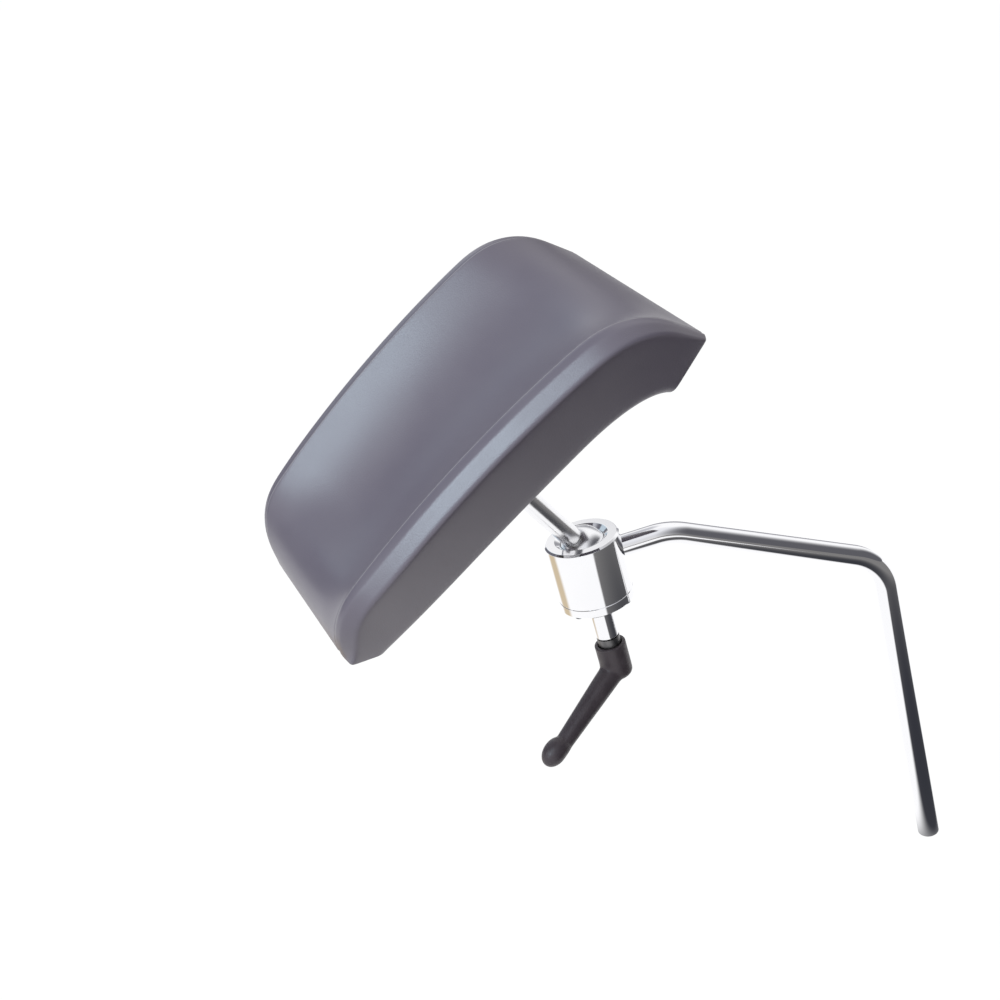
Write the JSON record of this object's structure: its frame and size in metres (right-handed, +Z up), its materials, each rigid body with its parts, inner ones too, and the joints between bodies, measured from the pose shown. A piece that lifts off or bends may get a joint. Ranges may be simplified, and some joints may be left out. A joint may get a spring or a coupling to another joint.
{
  "type": "examination chair leg support",
  "caption": "Leg support of a gynaecological examination chair: saddle-shaped pad on a ball-jointed stem, clamped by a hand lever to a bent round rod.",
  "frame": {"origin": "on the support rod's axis, where its round wall starts above the chamfer of its free lower end", "axes": "+Z up along the rod's straight lower part, -X from the rod towards the ball housing, +Y away from the viewer of the picture"},
  "size_m": [0.4706, 0.2353, 0.6184],
  "materials": {
    "pad_skin": "satin integral skin of polyurethane foam",
    "polished_steel": "mirror-polished stainless steel",
    "machined_steel": "turned stainless steel",
    "screw_steel": "zinc-plated fasteners",
    "black_insert": "burnished dark steel",
    "lever_coat": "fine-textured black powder coat on die-cast zinc",
    "acetal": "natural acetal",
    "bronze": "sintered bronze",
    "plywood": "birch plywood"
  },
  "bodies": {
    "rod": {"support_rod": "polished_steel", "rod_screw": "screw_steel", "socket_barrel": "polished_steel", "base_collar": "polished_steel", "collar_screws": "screw_steel", "thread_boss": "polished_steel"},
    "guide_ring": {"seat_liner": "acetal"},
    "ball": {"joint_ball": "polished_steel"},
    "pad": {"stem": "polished_steel", "stem_screw": "screw_steel", "stem_flange": "machined_steel", "flange_weld": "machined_steel", "pad_plate": "plywood", "plate_nuts": "screw_steel", "pad_screws": "screw_steel", "screw_washers": "machined_steel", "leg_pad": "pad_skin"},
    "cup": {"pressure_cup": "machined_steel", "thrust_washer": "bronze"},
    "screw": {"clamp_screw": "machined_steel", "lever_insert": "black_insert", "lever_screw": "screw_steel", "lever_spring": "machined_steel"},
    "lever": {"lever_handle": "lever_coat"}
  },
  "joints": [
    {"name": "swivel", "type": "hinge", "parent": "rod", "child": "guide_ring", "pos_m": [-0.233, 0, 0.3766], "axis": [0, 0, 1], "continuous": true},
    {"name": "tilt", "type": "hinge", "parent": "guide_ring", "child": "ball", "pos_m": [-0.233, 0, 0.3766], "axis": [-0.515, 0.8572, 0], "range_deg": [-5, 66]},
    {"name": "pad_spin", "type": "hinge", "parent": "ball", "child": "pad", "pos_m": [-0.233, 0, 0.3766], "axis": [-0.4389, -0.2637, 0.859], "continuous": true},
    {"name": "cup_slide", "type": "slide", "parent": "rod", "child": "cup", "axis": [0, 0, 1], "range_m": [-0.00175, 0]},
    {"name": "clamp_turn", "type": "hinge", "parent": "cup", "child": "screw", "pos_m": [-0.233, 0, 0.305], "axis": [0, 0, 1], "range_deg": [-360, 0]},
    {"name": "lever_pull", "type": "slide", "parent": "screw", "child": "lever", "axis": [0, 0, -1], "range_m": [0, 0.004], "stiffness_N_per_m": 800, "springref_m": -0.006, "deforming": ["lever_spring"]}
  ],
  "couplings": [
    {"joint": "cup_slide", "follows": "clamp_turn", "m_per_rad": 0.00027852}
  ]
}
